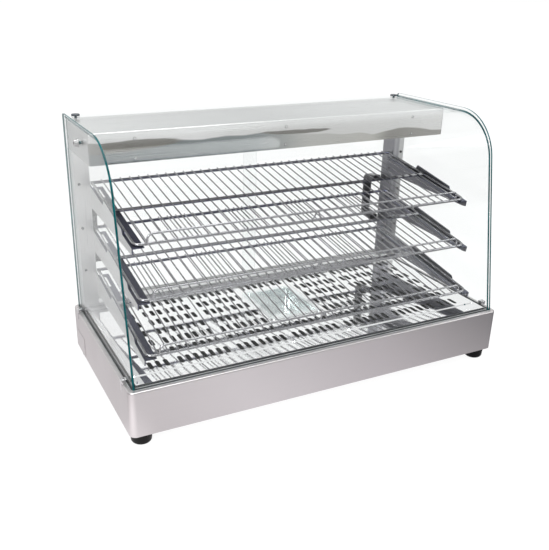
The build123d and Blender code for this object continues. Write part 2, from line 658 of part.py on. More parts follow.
for name, x in rocker_xs.items():
    with BuildPart() as rocker:
        with BuildSketch(Plane.YZ.offset(x - 8.6)):
            with BuildLine():
                Polyline((rocker_pivot_y - 3, panel_z - 7), (rocker_pivot_y + 5, panel_z - 11.5),
                         (rocker_pivot_y + 6.5, panel_z), (rocker_pivot_y + 9, panel_z + 10),
                         (rocker_pivot_y - 3, panel_z + 7), close=True)
            make_face()
        extrude(amount=17.2)
        with Locations(Plane((x, rocker_pivot_y, panel_z), x_dir=(0, 1, 0), z_dir=(1, 0, 0))):
            Cylinder(1.5, 20.6)
    keep(rocker, f"{name}_rocker")

with BuildPart() as indicator_lamp:
    with Locations(Plane((lamp_x, rear_y - 14, panel_z), **rear_facing)):
        Cylinder(5, 14 + sheet, align=(Align.CENTER, Align.CENTER, Align.MIN))
    with Locations(Plane((lamp_x, panel_face, panel_z), **rear_facing)):
        Cylinder(6.5, 4, align=(Align.CENTER, Align.CENTER, Align.MIN))
    fillet(indicator_lamp.edges().group_by(Axis.Y)[-1], 3)
keep(indicator_lamp, "indicator_lamp")

# ---- Cable gland and the service cover on the left wall ----
with BuildPart() as cable_gland:
    with Locations(Plane((gland_x, rear_y, gland_z), **rear_facing)):
        Cylinder(12, 5, align=(Align.CENTER, Align.CENTER, Align.MIN))
        Cone(9.5, 7, 12, align=(Align.CENTER, Align.CENTER, Align.MIN))
    with Locations(Plane((gland_x, rear_y - 10, gland_z), **rear_facing)):
        Cylinder(7.8, 12, align=(Align.CENTER, Align.CENTER, Align.MIN))
    with Locations(Plane((gland_x, rear_y + 12, gland_z), **rear_facing)):
        Hole(4, depth=24)
keep(cable_gland, "cable_gland")

with BuildPart() as service_cover:
    cover_low, cover_high = (rear_y - 92.5, foot_height + 4), (rear_y - 16.5, foot_height + 50)
    box_between((-side_x - 0.8, *cover_low), (-side_x, *cover_high))
    for y in (cover_low[0] + 6, cover_high[0] - 6):
        spot = (-side_x - 0.8, y, (cover_low[1] + cover_high[1]) / 2)
        with Locations(Plane(spot, x_dir=(0, 1, 0), z_dir=(-1, 0, 0))):
            Cylinder(2.4, 0.7, align=(Align.CENTER, Align.CENTER, Align.MIN))
keep(service_cover, "service_cover")
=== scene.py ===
"""Looks of the hot food display case: node materials, small detail pieces, floor, light and camera.

Metres, in the frame of the CAD model: +Z up, -Y towards the customer, +X to the right seen from the front.
"""
import bmesh
import bpy
import json
from math import cos, pi, radians, sin, tan
from mathutils import Matrix, Vector


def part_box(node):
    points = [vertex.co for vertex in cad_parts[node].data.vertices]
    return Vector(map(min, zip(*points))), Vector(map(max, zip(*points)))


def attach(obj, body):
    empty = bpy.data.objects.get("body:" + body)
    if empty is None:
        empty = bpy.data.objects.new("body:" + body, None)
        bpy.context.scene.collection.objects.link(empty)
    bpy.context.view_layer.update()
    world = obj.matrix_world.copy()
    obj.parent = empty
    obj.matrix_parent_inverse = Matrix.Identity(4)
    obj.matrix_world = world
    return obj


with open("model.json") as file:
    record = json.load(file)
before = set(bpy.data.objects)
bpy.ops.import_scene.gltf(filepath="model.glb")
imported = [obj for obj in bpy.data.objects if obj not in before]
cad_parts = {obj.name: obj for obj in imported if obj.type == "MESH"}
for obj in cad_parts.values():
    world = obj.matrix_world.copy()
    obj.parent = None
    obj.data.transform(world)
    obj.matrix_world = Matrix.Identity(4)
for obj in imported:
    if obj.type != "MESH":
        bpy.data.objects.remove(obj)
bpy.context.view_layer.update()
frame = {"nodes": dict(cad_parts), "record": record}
nodes = frame["nodes"]
scene = bpy.context.scene
scene.view_settings.view_transform = "Standard"


# ---- Helpers for node trees ----
def put(tree, kind, inputs=None, **settings):
    """Adds one shader node; inputs may hold values or sockets to link."""
    made = tree.nodes.new(kind)
    for key, value in settings.items():
        setattr(made, key, value)
    for key, value in (inputs or {}).items():
        if isinstance(value, bpy.types.NodeSocket):
            tree.links.new(value, made.inputs[key])
        else:
            made.inputs[key].default_value = value
    return made


def rgba(colour):
    """A colour with alpha 1."""
    return (*colour[:3], 1.0)


def new_tree(name):
    """An empty node material, its tree and its output node."""
    material = bpy.data.materials.new(name)
    material.use_nodes = True
    tree = material.node_tree
    tree.nodes.clear()
    return material, tree, tree.nodes.new("ShaderNodeOutputMaterial")


def noise(tree, scale, stretch=(1, 1, 1), detail=3.0, roughness=0.5, distortion=0.0):
    """A noise value in the row frame, stretched by a scale on each axis."""
    place = put(tree, "ShaderNodeTexCoord").outputs["Object"]
    mapped = put(tree, "ShaderNodeMapping", {"Vector": place, "Scale": stretch})
    made = put(tree, "ShaderNodeTexNoise", {
        "Vector": mapped.outputs[0], "Scale": scale, "Detail": detail, "Roughness": roughness,
        "Distortion": distortion})
    return made.outputs["Fac"]


def ramp(tree, value, stops):
    """A colour ramp over a value; stops are (position, colour)."""
    made = put(tree, "ShaderNodeValToRGB", {"Fac": value})
    elements = made.color_ramp.elements
    while len(elements) < len(stops):
        elements.new(0.5)
    for element, (position, colour) in zip(elements, stops):
        element.position = position
        element.color = rgba(colour)
    return made.outputs["Color"]


def between(tree, value, low, high, start=0.3, end=0.7):
    """Maps a value from start..end to low..high."""
    return put(tree, "ShaderNodeMapRange", {
        "Value": value, "From Min": start, "From Max": end, "To Min": low, "To Max": high}).outputs[0]


def calc(tree, operation, first, second=0.0, clamp=False):
    """One Math node."""
    return put(tree, "ShaderNodeMath", {0: first, 1: second}, operation=operation, use_clamp=clamp).outputs[0]


def mix_colour(tree, factor, first, second, blend="MIX"):
    """One colour Mix node."""
    made = put(tree, "ShaderNodeMix", data_type="RGBA", blend_type=blend)
    for index, value in ((0, factor), (6, first), (7, second)):
        if isinstance(value, bpy.types.NodeSocket):
            tree.links.new(value, made.inputs[index])
        elif index:
            made.inputs[index].default_value = rgba(value)
        else:
            made.inputs[index].default_value = value
    return made.outputs[2]


def shade(colour, factor):
    """A colour made lighter or darker."""
    return tuple(min(1.0, c * factor) for c in colour[:3])


def grey(level):
    """A neutral colour."""
    return (level, level, level)


def position(tree):
    """X, Y and Z of a point in the row frame, as three sockets."""
    return put(tree, "ShaderNodeSeparateXYZ", {0: put(tree, "ShaderNodeTexCoord").outputs["Object"]}).outputs


def direction(tree):
    """X, Y and Z of the surface normal in the row frame, as three sockets."""
    return put(tree, "ShaderNodeSeparateXYZ", {0: put(tree, "ShaderNodeTexCoord").outputs["Normal"]}).outputs


def bumps(tree, height, distance):
    """A normal disturbed by a height value."""
    return put(tree, "ShaderNodeBump", {"Height": height, "Distance": distance, "Strength": 1.0}).outputs[0]


# ---- Materials ----
def brushed_metal(name, colour, roughness=0.28, grain=(2, 160, 160), contrast=0.06, bump=0.0006, waves=0.0):
    """Metal with fine lines along one axis, blotches of slightly different shine and optional slow waves."""
    material, tree, out = new_tree(name)
    lines = noise(tree, 3.0, grain, detail=6.0, roughness=0.7)
    blotch = noise(tree, 9.0, detail=2.0)
    tone = ramp(tree, lines, [(0.3, shade(colour, 1 - contrast)), (0.7, shade(colour, 1 + contrast))])
    tone = mix_colour(tree, between(tree, blotch, 0.0, 0.5), tone, shade(colour, 1 - contrast))
    shine = calc(tree, "ADD", between(tree, lines, roughness - 0.05, roughness + 0.05),
                 between(tree, blotch, -0.02, 0.03))
    height = lines
    distance = bump
    if waves:
        slow = noise(tree, 6.0, (1.0, 1.0, 1.6), detail=1.0, distortion=0.6)
        height = calc(tree, "ADD", calc(tree, "MULTIPLY", lines, bump / waves), slow)
        distance = waves
    shader = put(tree, "ShaderNodeBsdfPrincipled", {
        "Base Color": tone, "Metallic": 1.0, "Roughness": shine, "Normal": bumps(tree, height, distance)})
    tree.links.new(shader.outputs[0], out.inputs[0])
    return material


def ellipse(tree, across, up, centre, half):
    """1 inside an ellipse in two scalar coordinates, 0 outside, with a narrow soft edge."""
    first = calc(tree, "DIVIDE", calc(tree, "SUBTRACT", across, centre[0]), half[0])
    second = calc(tree, "DIVIDE", calc(tree, "SUBTRACT", up, centre[1]), half[1])
    reach = calc(tree, "ADD", calc(tree, "MULTIPLY", first, first), calc(tree, "MULTIPLY", second, second))
    return between(tree, reach, 1.0, 0.0, 0.85, 1.1)


def canopy_painted_reflections(name):
    """Polished sheet with painted reflections: a top whose painted reflection is darker in the middle of the
    case, a plain rear, and a front with a painted reflection of a wavy blue-grey lower band and olive
    patches.
    """
    material, tree, out = new_tree(name)
    low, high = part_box("canopy_shell")
    place, normal = position(tree), direction(tree)
    along = between(tree, place["X"], 0.0, 1.0, low.x, high.x)
    wander = noise(tree, 9.0, (1.0, 1.0, 0.6), detail=2.0, roughness=0.4)
    rise = calc(tree, "ADD", between(tree, place["Z"], 0.0, 1.0, low.z, high.z),
                between(tree, wander, -0.07, 0.07, 0.3, 0.7))
    # Painted reflection on the front: a dark blue-grey lower band under a wavy line, and a paler band above
    # it
    lower = ramp(tree, along, [
        (0.1, (0.13, 0.15, 0.155)), (0.42, (0.22, 0.245, 0.25)), (0.56, (0.5, 0.5, 0.48)),
        (0.76, (0.52, 0.51, 0.48)), (0.82, (0.29, 0.28, 0.26)), (1.0, (0.36, 0.35, 0.33))])
    upper_reflection_tone = ramp(tree, along, [
        (0.0, (0.66, 0.655, 0.65)), (0.25, (0.74, 0.735, 0.73)), (0.5, (0.62, 0.615, 0.605)),
        (1.0, (0.76, 0.755, 0.745))])
    reflection_shore_line = ramp(tree, along, [
        (0.0, grey(0.42)), (0.2, grey(0.58)), (0.45, grey(0.58)), (0.58, grey(0.46)),
        (0.76, grey(0.3)), (0.85, grey(0.44)), (1.0, grey(0.22))])
    lower_reflection_mask = between(tree, calc(tree, "SUBTRACT", reflection_shore_line, rise), 0.0, 1.0, -0.01, 0.03)
    waves = mix_colour(tree, lower_reflection_mask, upper_reflection_tone, lower)
    # Painted reflection: dark olive patches on the front
    patches = (((0.05, 0.56), (0.17, 0.18)), ((0.53, 0.56), (0.1, 0.07)))
    for centre, half in patches:
        waves = mix_colour(tree, ellipse(tree, along, rise, centre, half), waves, (0.17, 0.162, 0.145))
    fine = noise(tree, 3.0, (2, 160, 160), detail=6.0, roughness=0.7)
    # Painted reflection on the top: darker in the middle of the case
    plain = ramp(tree, along, [
        (0.0, (0.52, 0.515, 0.51)), (0.45, (0.27, 0.265, 0.262)), (1.0, (0.5, 0.495, 0.49))])
    plain = mix_colour(tree, between(tree, fine, 0.0, 0.12), plain, grey(0.3))
    # Faces towards the rear get one even tone in place of the top's painted reflection
    rear = between(tree, normal["Y"], 0.0, 1.0, 0.3, 0.8)
    plain = mix_colour(tree, rear, plain, (0.56, 0.555, 0.55))
    # Faces towards the front get the painted reflection of bands and patches
    front = between(tree, normal["Y"], 1.0, 0.0, -0.8, -0.3)
    tone = mix_colour(tree, front, plain, waves)
    shader = put(tree, "ShaderNodeBsdfPrincipled", {
        "Base Color": tone, "Metallic": 0.85, "Roughness": between(tree, fine, 0.26, 0.32),
        "Normal": bumps(tree, fine, 0.00002)})
    tree.links.new(shader.outputs[0], out.inputs[0])
    return material


def shelf_metal(name, colour):
    """Plated wire whose rear and middle bars, under the wires, carry a dark painted shade while the wires
    stay bright.
    """
    material, tree, out = new_tree(name)
    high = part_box("shelf_top")[1]
    rod_radius = 0.003
    rear_rod_radius = rod_radius + 0.0005
    wires_above_rod = 0.003
    rod_to_middle_bar = 0.1511
    half_pitch = 0.0515
    rear_rod_y = high.y - rear_rod_radius
    rod_level = high.z - rear_rod_radius - wires_above_rod
    place = position(tree)
    slope = tan(radians(9.0))
    fall = calc(tree, "MULTIPLY", calc(tree, "SUBTRACT", rear_rod_y, place["Y"]), slope)
    lift = calc(tree, "SUBTRACT", calc(tree, "ADD", place["Z"], fall), rod_level)
    over = calc(tree, "PINGPONG", lift, half_pitch)
    low_down = between(tree, over, 1.0, 0.0, rod_radius + 0.0001, rod_radius + 0.0004)
    rear_bar = between(tree, place["Y"], 0.0, 1.0, high.y - 0.009, high.y - 0.0085)
    middle = calc(tree, "ABSOLUTE", calc(tree, "SUBTRACT", place["Y"], rear_rod_y - rod_to_middle_bar))
    middle_bar = between(tree, middle, 1.0, 0.0, 0.0055, 0.006)
    bars = calc(tree, "MULTIPLY", low_down, calc(tree, "MAXIMUM", rear_bar, middle_bar))
    patches = noise(tree, 60.0, detail=3.0)
    tone = ramp(tree, patches, [(0.3, shade(colour, 0.85)), (0.65, colour)])
    # Painted shade: the rear and middle bars below the wires are coloured dark blue-grey
    tone = mix_colour(tree, calc(tree, "MULTIPLY", bars, 0.9), tone, (0.1, 0.105, 0.17))
    shader = put(tree, "ShaderNodeBsdfPrincipled", {
        "Base Color": tone, "Metallic": 1.0, "Roughness": between(tree, patches, 0.12, 0.2)})
    tree.links.new(shader.outputs[0], out.inputs[0])
    return material


def bracket_metal(name):
    """Satin sheet with painted light and shade: its webs are a pale lit copy at one end of the case and a
    dark shaded copy at the other, and its flanges are dark with painted shade.
    """
    material, tree, out = new_tree(name)
    place, normal = position(tree), direction(tree)
    fine = noise(tree, 3.0, (100, 3, 100), detail=6.0, roughness=0.7)
    # Painted light and shade: a pale lit copy of the steel for the webs at the left end, a dark shaded copy
    # at the right end
    pale = ramp(tree, fine, [(0.3, grey(0.7)), (0.7, grey(0.76))])
    painted_shade_end = ramp(tree, fine, [(0.3, (0.17, 0.17, 0.19)), (0.7, (0.24, 0.24, 0.26))])
    lit_and_shaded_web = mix_colour(tree, between(tree, place["X"], 0.0, 1.0, -0.1, 0.1), pale, painted_shade_end)
    # Painted shade: faces that do not face sideways, the flanges, are coloured dark blue-grey
    flat = between(tree, calc(tree, "ABSOLUTE", normal["X"]), 1.0, 0.0, 0.4, 0.6)
    tone = mix_colour(tree, flat, lit_and_shaded_web, (0.09, 0.095, 0.14))
    shader = put(tree, "ShaderNodeBsdfPrincipled", {
        "Base Color": tone, "Metallic": 1.0, "Roughness": between(tree, fine, 0.27, 0.32)})
    tree.links.new(shader.outputs[0], out.inputs[0])
    return material


def upright_metal(name):
    """Satin sheet with lengthwise grain and painted light and shade: a pale lit copy at one end of the case
    and a dark shaded copy, in painted bands of light and shade, at the other.
    """
    material, tree, out = new_tree(name)
    low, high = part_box("column_right")
    place = position(tree)
    grain = noise(tree, 3.0, (170, 170, 1.5), detail=6.0, roughness=0.7)
    # Painted light and shade: a pale lit copy for the left upright, a dark copy in painted bands of shade
    # across the right upright
    pale = ramp(tree, grain, [(0.3, (0.76, 0.755, 0.75)), (0.7, (0.8, 0.795, 0.79))])
    painted_shade_end = ramp(tree, between(tree, place["X"], 0.0, 1.0, low.x, high.x), [
        (0.0, (0.27, 0.27, 0.29)), (0.2, (0.44, 0.44, 0.46)), (0.45, (0.32, 0.32, 0.34)), (0.62, grey(0.6))])
    tone = mix_colour(tree, between(tree, place["X"], 0.0, 1.0, -0.1, 0.1), pale, painted_shade_end)
    shader = put(tree, "ShaderNodeBsdfPrincipled", {
        "Base Color": tone, "Metallic": 1.0, "Roughness": between(tree, grain, 0.26, 0.34),
        "Normal": bumps(tree, grain, 0.00005)})
    tree.links.new(shader.outputs[0], out.inputs[0])
    return material


def bright_metal(name, colour, roughness=0.12):
    """Plated or polished small parts: nearly a mirror, with faint dull patches."""
    material, tree, out = new_tree(name)
    patches = noise(tree, 60.0, detail=3.0)
    tone = ramp(tree, patches, [(0.3, shade(colour, 0.9)), (0.65, colour)])
    shader = put(tree, "ShaderNodeBsdfPrincipled", {
        "Base Color": tone, "Metallic": 1.0, "Roughness": between(tree, patches, roughness, roughness + 0.1)})
    tree.links.new(shader.outputs[0], out.inputs[0])
    return material


def moulded(name, colour, roughness=0.5, grain_size=900.0, bump=0.00006, coat=0.0, gloss=0.5):
    """Moulded plastic or rubber with a fine grain and slight scuffs."""
    material, tree, out = new_tree(name)
    grain = noise(tree, grain_size, detail=2.0)
    scuffs = noise(tree, 35.0, (1, 1, 3), detail=5.0, roughness=0.65)
    worn = [channel * 1.25 + 0.002 for channel in colour]
    tone = ramp(tree, scuffs, [(0.35, shade(colour, 0.8)), (0.55, colour), (0.72, worn)])
    shader = put(tree, "ShaderNodeBsdfPrincipled", {
        "Base Color": tone, "Roughness": between(tree, scuffs, roughness - 0.06, roughness + 0.1),
        "Coat Weight": coat, "Specular IOR Level": gloss, "Normal": bumps(tree, grain, bump)})
    tree.links.new(shader.outputs[0], out.inputs[0])
    return material


def pane(name, flat_axis, edge_colour=(0.003, 0.075, 0.083), edge_weight=1.0):
    """Clear sheet glass that mirrors at a slant and has dark green cut edges.

    flat_axis is the axis that a flat pane faces, or, with a minus sign, the one that only the cut ends of a
    bent pane face.
    """
    material, tree, out = new_tree(name)
    turned = calc(tree, "ABSOLUTE", direction(tree)[flat_axis.strip("-")])
    test = "GREATER_THAN" if flat_axis.startswith("-") else "LESS_THAN"
    edge = calc(tree, "MULTIPLY", calc(tree, test, turned, 0.5), edge_weight)
    smears = noise(tree, 7.0, (1.0, 1.0, 0.5), detail=4.0, roughness=0.6, distortion=0.8)
    clear = put(tree, "ShaderNodeBsdfTransparent", {"Color": rgba((0.988, 0.992, 0.991))})
    mirror = put(tree, "ShaderNodeBsdfGlossy", {
        "Color": rgba((0.95, 0.97, 0.97)), "Roughness": between(tree, smears, 0.0, 0.05)})
    film = put(tree, "ShaderNodeBsdfDiffuse", {"Color": rgba((0.92, 0.94, 0.94))})
    slant = put(tree, "ShaderNodeLayerWeight", {"Blend": 0.5}).outputs["Facing"]
    straight_on, grazing_gain = 0.022, 0.7
    mirrored = calc(tree, "MULTIPLY_ADD", calc(tree, "POWER", slant, 5.0), grazing_gain)
    mirrored.node.inputs[2].default_value = straight_on
    faces = put(tree, "ShaderNodeMixShader", {0: mirrored, 1: clear.outputs[0], 2: mirror.outputs[0]})
    faces = put(tree, "ShaderNodeMixShader", {
        0: between(tree, smears, 0.0, 0.008, 0.35, 0.75), 1: faces.outputs[0], 2: film.outputs[0]})
    tint = noise(tree, 25.0, detail=2.0)
    rim = put(tree, "ShaderNodeBsdfPrincipled", {
        "Base Color": ramp(tree, tint, [(0.3, shade(edge_colour, 0.6)), (0.7, shade(edge_colour, 1.5))]),
        "Roughness": 0.12, "Specular IOR Level": 0.1})
    joined = put(tree, "ShaderNodeMixShader", {0: edge, 1: faces.outputs[0], 2: rim.outputs[0]})
    tree.links.new(joined.outputs[0], out.inputs[0])
    return material


materials = {
    "casing_steel": brushed_metal(
        "satin_casing", (0.588, 0.566, 0.569), 0.34, (1.5, 1.5, 190), 0.02, 0.00008),
    # Painted shade: the inner sheets below the deck are coloured nearly black, so the slots read dark
    "inner_steel": brushed_metal("inner_sheet_painted_shade", (0.03, 0.03, 0.03), 0.5),
    "deck_steel": brushed_metal("polished_deck", (0.97, 0.97, 0.975), 0.055, (2, 120, 120), 0.01, 0.000004),
    "grille_steel": brushed_metal(
        "polished_grille", (0.99, 0.99, 0.995), 0.055, (2, 120, 120), 0.01, 0.000004),
    "pan_steel": brushed_metal("pressed_pan", (0.9, 0.93, 0.93), 0.1, (60, 60, 60), 0.05, 0.0002, 0.006),
    "heater_alloy": brushed_metal("oxidised_sheath", (0.16, 0.14, 0.13), 0.5, (30, 30, 30), 0.3),
    "gasket_rubber": moulded("channel_rubber", (0.075, 0.08, 0.085), 0.5),
    "foot_rubber": moulded("foot_rubber", (0.003, 0.003, 0.003), 0.4, gloss=0.2),
    "screw_steel": bright_metal("screw_steel", (0.62, 0.62, 0.62), 0.25),
    "clip_chrome": bright_metal("clip_chrome", (0.7, 0.7, 0.71)),
    "side_glass": pane("side_pane_glass", "X"),
    "curved_glass": pane("bent_glass", "-X"),
    "knob_plastic": moulded("glass_knob_plastic", (0.05, 0.06, 0.07), 0.42),
    "canopy_steel": canopy_painted_reflections("canopy_sheet_painted_reflections"),
    "underplate_steel": brushed_metal("canopy_under_sheet", (0.72, 0.72, 0.71), 0.2, (2, 120, 120), 0.04),
    "reflector_aluminium": brushed_metal("reflector_sheet", (0.9, 0.9, 0.9), 0.14, (2, 60, 60), 0.02),
    "lamp_glass": moulded("lamp_frosted_glass", (0.93, 0.92, 0.88), 0.35, 400.0, 0.00002),
    "lamp_holder_ceramic": moulded("lamp_holder_glaze", (0.86, 0.85, 0.82), 0.3, 500.0, 0.00003),
    "upright_steel": upright_metal("upright_sheet_painted_light_and_shade"),
    "bracket_steel": bracket_metal("bracket_sheet_painted_light_and_shade"),
    "shelf_chrome": shelf_metal("shelf_wire_plating_painted_bar_shade", (0.41, 0.41, 0.425)),
    "fence_chrome": bright_metal("fence_plating", (0.46, 0.46, 0.475), 0.12),
    "track_aluminium": brushed_metal("track_extrusion", (0.72, 0.72, 0.72), 0.3, (1.5, 160, 160), 0.04),
    "door_glass": pane("door_pane_glass", "Y", (0.8, 0.84, 0.84), 0.12),
    "handle_plastic": moulded("handle_plastic", (0.008, 0.008, 0.009), 0.28, coat=0.3),
    "panel_steel": brushed_metal("control_plate", (0.66, 0.66, 0.66), 0.32, (1.5, 160, 160), 0.05),
    "control_plastic": moulded("control_black", (0.02, 0.02, 0.021), 0.45),
    "dial_plastic": moulded("dial_black", (0.015, 0.015, 0.016), 0.35, coat=0.2),
    "power_rocker_plastic": moulded("rocker_red", (0.42, 0.02, 0.015), 0.25, coat=0.4),
    "light_rocker_plastic": moulded("rocker_green", (0.02, 0.26, 0.06), 0.25, coat=0.4),
    "pilot_lamp": moulded("pilot_lens", (0.75, 0.22, 0.02), 0.18, coat=0.6),
    "gland_plastic": moulded("gland_black", (0.02, 0.02, 0.02), 0.5),
}
for part in frame["record"]["subparts"]:
    data = nodes[part["node"]].data
    data.materials.clear()
    data.materials.append(materials[part["material_slot"]])


# ---- Helpers for detail pieces, which are built in the row frame ----
def solids(node):
    """Lowest and highest corners of each separate solid of a node, in a fixed order."""
    shape = bmesh.new()
    shape.from_mesh(nodes[node].data)
    bmesh.ops.remove_doubles(shape, verts=shape.verts, dist=1e-6)
    shape.verts.ensure_lookup_table()
    shape.verts.index_update()
    seen, boxes = set(), []
    for first in shape.verts:
        if first.index in seen:
            continue
        seen.add(first.index)
        waiting, group = [first], []
        while waiting:
            vertex = waiting.pop()
            group.append(vertex.co.copy())
            for edge in vertex.link_edges:
                other = edge.other_vert(vertex)
                if other.index not in seen:
                    seen.add(other.index)
                    waiting.append(other)
        low = Vector([min(point[i] for point in group) for i in range(3)])
        high = Vector([max(point[i] for point in group) for i in range(3)])
        boxes.append((low, high))
    shape.free()
    return sorted(boxes, key=lambda box: [round(value, 5) for value in (*box[0], *box[1])])


def facing(point, direction):
    """A placement whose local Z points along a direction."""
    return Matrix.Translation(point) @ Vector(direction).to_track_quat("Z", "Y").to_matrix().to_4x4()


def lathe(shape, profile, place, steps=24):
    """Turn a profile of (radius, height) points about the local Z of a placement."""
    rings = []
    for radius, height in profile:
        count = steps if radius else 1
        turns = [2 * pi * step / steps for step in range(count)]
        points = [Vector((radius * cos(turn), radius * sin(turn), height)) for turn in turns]
        rings.append([shape.verts.new(place @ point) for point in points])
    for ring, after in zip(rings, rings[1:]):
        for step in range(steps):
            corners = (ring[step % len(ring)], ring[(step + 1) % len(ring)],
                       after[(step + 1) % len(after)], after[step % len(after)])
            shape.faces.new(list(dict.fromkeys(corners)))


def prism(shape, outline, low, high, place):
    """A straight solid over a flat outline, from one local height to another."""
    bottom = [shape.verts.new(place @ Vector((x, y, low))) for x, y in outline]
    top = [shape.verts.new(place @ Vector((x, y, high))) for x, y in outline]
    shape.faces.new(bottom[::-1])
    shape.faces.new(top)
    for step in range(len(outline)):
        after = (step + 1) % len(outline)
        shape.faces.new((bottom[step], bottom[after], top[after], top[step]))


def tube(shape, path, radius, steps=8):
    """A round bead along a level path, closed at both ends."""
    rings = []
    for index, point in enumerate(path):
        ahead = path[min(index + 1, len(path) - 1)] - path[max(index - 1, 0)]
        sideways = Vector((ahead.y, -ahead.x, 0)).normalized()
        turns = [2 * pi * step / steps for step in range(steps)]
        spokes = [cos(turn) * sideways + Vector((0, 0, sin(turn))) for turn in turns]
        rings.append([shape.verts.new(point + radius * spoke) for spoke in spokes])
    for ring, after in zip(rings, rings[1:]):
        for step in range(steps):
            onward = (step + 1) % steps
            shape.faces.new((ring[step], ring[onward], after[onward], after[step]))
    shape.faces.new(rings[0][::-1])
    shape.faces.new(rings[-1])


def bar(width, height):
    """The outline of a rectangle about its centre."""
    a, b = width / 2, height / 2
    return [(-a, -b), (a, -b), (a, b), (-a, b)]


def cross(span, arm):
    """The outline of a plus sign about its centre."""
    a, b = span / 2, arm / 2
    return [(-b, -a), (b, -a), (b, -b), (a, -b), (a, b), (b, b),
            (b, a), (-b, a), (-b, b), (-a, b), (-a, -b), (-b, -b)]


def add_piece(name, shape, material, body):
    """Turn a bmesh into a piece that rides on a body."""
    bmesh.ops.recalc_face_normals(shape, faces=shape.faces)
    mesh = bpy.data.meshes.new(name)
    shape.to_mesh(mesh)
    shape.free()
    mesh.shade_smooth()
    mesh.set_sharp_from_angle(angle=radians(35))
    mesh.materials.append(material)
    made = bpy.data.objects.new(name, mesh)
    scene.collection.objects.link(made)
    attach(made, body)
    return made


# ---- Screw faces: a shallow dome and a dark cross of painted shade for the recess on every visible upright and clip screw, a dark hexagon of painted shade for every stud's socket, and a dark ring of painted shade around every rivet ----
dark_screw = moulded("blackened_screw", (0.02, 0.02, 0.021), 0.4, gloss=0.3)
nodes["upright_screws"].data.materials[0] = dark_screw
# Painted shade: recesses and sockets are drawn as thin near-black marks on the heads
recess_painted_shade = moulded("recess_painted_shade", (0.004, 0.004, 0.004), 0.6)
domes, recess_shade_marks = bmesh.new(), bmesh.new()
for low, high in solids("upright_screws"):
    centre, size = (low + high) / 2, high - low
    if size.x < size.y:
        spot = Vector((low.x if centre.x > 0 else high.x, centre.y, centre.z))
        place = facing(spot, (-1 if centre.x > 0 else 1, 0, 0))
    else:
        place = facing((centre.x, low.y, centre.z), (0, -1, 0))
    radius = size.z / 2
    crown = [(0.8 * radius, 0.0005), (0.4 * radius, 0.0007), (0, 0.0008)]
    lathe(domes, [(radius, -0.0013), (radius, 0.0001), *crown], place)
    prism(recess_shade_marks, cross(1.1 * radius, 0.35 * radius), 0.0005, 0.00085, place)
socket_radius = 0.0034
hexagon = [(socket_radius * cos(pi * step / 3), socket_radius * sin(pi * step / 3)) for step in range(6)]
for low, high in solids("pane_studs"):
    centre = (low + high) / 2
    outer = high.x if centre.x > 0 else low.x
    place = facing((outer, centre.y, centre.z), (1 if centre.x > 0 else -1, 0, 0))
    prism(recess_shade_marks, hexagon, -0.0001, 0.0001, place)
clip_screws = bmesh.new()
for low, high in solids("glass_clips"):
    centre = (low + high) / 2
    place = facing((centre.x, centre.y, high.z), (0, 0, 1))
    lathe(clip_screws, [(0.0032, -0.0001), (0.0031, 0.0005), (0.002, 0.001), (0, 0.0011)], place)
    prism(recess_shade_marks, cross(0.0036, 0.001), 0.0005, 0.00115, place)
add_piece("upright_screw_domes", domes, dark_screw, "cabinet")
add_piece("clip_screw_domes", clip_screws, materials["clip_chrome"], "cabinet")
add_piece("screw_recess_painted_shade", recess_shade_marks, recess_painted_shade, "cabinet")

# Painted shade: a thin dark ring just outside each rivet head, in the blackened screw colour
rivet_shade_rings = bmesh.new()
for low, high in solids("canopy_rivets"):
    centre = (low + high) / 2
    radius = (high.x - low.x) / 2
    lathe(rivet_shade_rings, [(1.35 * radius, 0.0), (1.3 * radius, 0.0004), (1.02 * radius, 0.0004)],
          facing((centre.x, high.y, centre.z), (0, -1, 0)))
add_piece("rivet_painted_shade_rings", rivet_shade_rings, dark_screw, "cabinet")

# ---- Lips of the glass channel: two beads that follow the side and front gaskets, coloured pale as a painted highlight ----
channel_low, channel_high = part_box("front_gasket")
rear_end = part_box("side_gaskets")[1].y
pane_inner_face = -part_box("side_pane_left")[1].x
# Painted highlight: the lip beads are coloured pale grey on the dark rubber channel
lip_painted_highlight = moulded("channel_lip_painted_highlight", (0.42, 0.43, 0.43), 0.45)
bead_radius = 0.0007
bead_inset = 0.0012
inner_inset = channel_high.x - pane_inner_face + bead_inset
for label, inset, corner in (("outer", bead_inset, 0.0075), ("inner", inner_inset, 0.001)):
    half = channel_high.x - inset
    front = channel_low.y + inset
    level = channel_high.z + 0.0002
    path = [Vector((-half, rear_end, level))]
    for side in (-1, 1):
        for step in range(7):
            turn = radians(15 * step if side < 0 else 90 - 15 * step)
            across = side * (half - corner + corner * cos(turn))
            path.append(Vector((across, front + corner - corner * sin(turn), level)))
    path.append(Vector((half, rear_end, level)))
    bead = bmesh.new()
    tube(bead, path, bead_radius)
    add_piece(f"channel_highlight_bead_{label}", bead, lip_painted_highlight, "cabinet")

